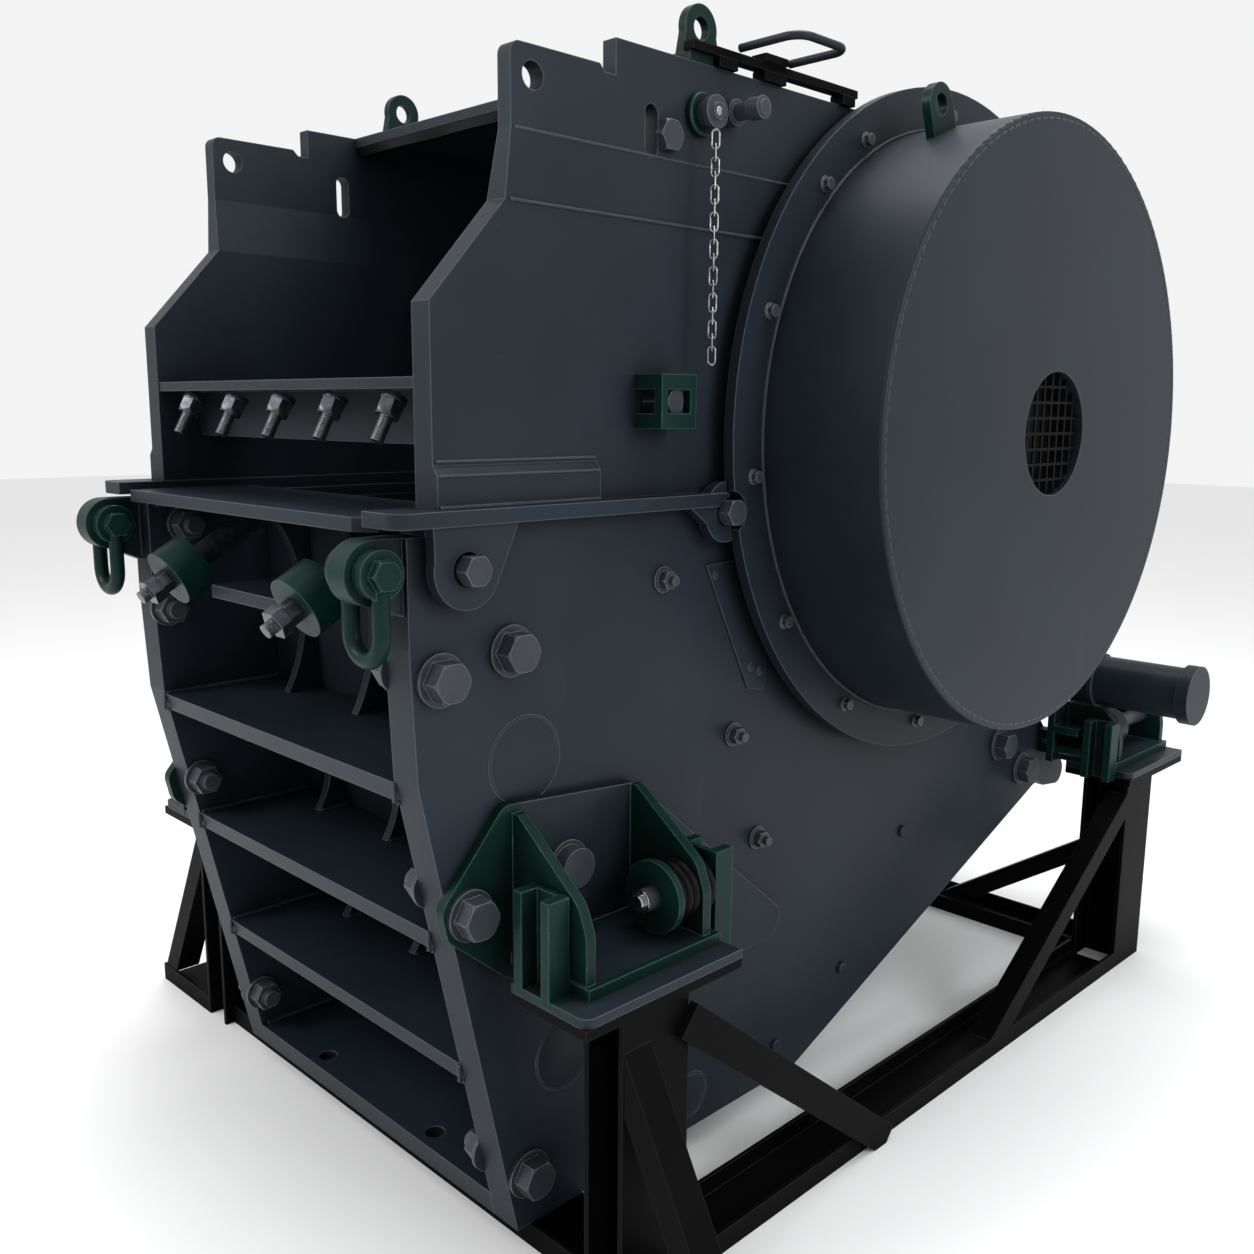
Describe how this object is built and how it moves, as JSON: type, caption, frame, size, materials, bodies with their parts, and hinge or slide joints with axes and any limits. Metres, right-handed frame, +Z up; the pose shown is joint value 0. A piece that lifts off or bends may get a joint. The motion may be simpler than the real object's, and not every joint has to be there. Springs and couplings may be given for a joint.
{
  "type": "jaw crusher",
  "caption": "Jaw crusher with bolted drive guards, open feed hopper and ribbed frame front, hung on rubber buffered brackets in a welded transport stand.",
  "frame": {"origin": "middle of the outer size in X and Y, on the surface the stand rests on", "axes": "+X across the machine towards the side with the slotted rail and the chain, +Y from the feed end to the drive end, +Z up"},
  "size_m": [2.45, 3.1619, 2.711],
  "materials": {
    "slate_paint": "satin",
    "green_paint": "satin",
    "black_paint": "gloss",
    "bare_steel": "satin",
    "jaw_steel": "rough",
    "bright_chain": "bright",
    "black_rubber": "matte"
  },
  "bodies": {
    "crusher": {"base_plate": "slate_paint", "bearing_housings": "slate_paint", "buffer_discs": "green_paint", "buffer_rubbers": "black_rubber", "cheek_plates": "jaw_steel", "clamp_studs": "bare_steel", "feed_lip": "slate_paint", "fixed_jaw_die": "jaw_steel", "frame_bolts": "slate_paint", "front_bracket_left": "green_paint", "front_bracket_right": "green_paint", "front_guides": "green_paint", "front_ribs": "slate_paint", "front_shelf": "slate_paint", "front_wall": "slate_paint", "front_webs": "slate_paint", "guard_drum_left": "slate_paint", "guard_drum_right": "slate_paint", "guard_grilles": "slate_paint", "guard_lugs": "green_paint", "guard_ring_left": "slate_paint", "guard_ring_right": "slate_paint", "hopper_back": "slate_paint", "hopper_cover": "slate_paint", "hopper_flange_left": "slate_paint", "hopper_flange_right": "slate_paint", "hopper_side_left": "slate_paint", "hopper_side_right": "slate_paint", "lifting_eyes": "green_paint", "moving_jaw": "slate_paint", "moving_jaw_die": "jaw_steel", "rear_beam": "slate_paint", "rear_brackets": "green_paint", "rear_lugs": "slate_paint", "rear_tube": "slate_paint", "safety_chain": "bright_chain", "seat_plates": "slate_paint", "side_clamp": "green_paint", "side_plate_left": "slate_paint", "side_plate_right": "slate_paint", "stand_braces_left": "black_paint", "stand_braces_right": "black_paint", "stand_cross_rails": "black_paint", "stand_post_front_left": "black_paint", "stand_post_front_right": "black_paint", "stand_post_rear_left": "black_paint", "stand_post_rear_right": "black_paint", "stand_side_rail_left": "black_paint", "stand_side_rail_right": "black_paint", "toggle_beam": "slate_paint", "toggle_plate": "slate_paint", "top_deck": "slate_paint", "top_handle": "slate_paint", "top_rail": "black_paint", "wedge_discs": "green_paint", "wedge_rods": "bare_steel"},
    "shackle_right_body": {"shackle_right": "green_paint"},
    "shackle_left_body": {"shackle_left": "green_paint"}
  },
  "joints": [
    {"name": "shackle_swing_right", "type": "hinge", "parent": "crusher", "child": "shackle_right_body", "pos_m": [0.556, -1.51, 1.55], "axis": [1, 0, 0], "range_deg": [-100, 3]},
    {"name": "shackle_swing_left", "type": "hinge", "parent": "crusher", "child": "shackle_left_body", "pos_m": [-0.598, -1.519, 1.56], "axis": [1, 0, 0], "range_deg": [-100, 3]}
  ]
}
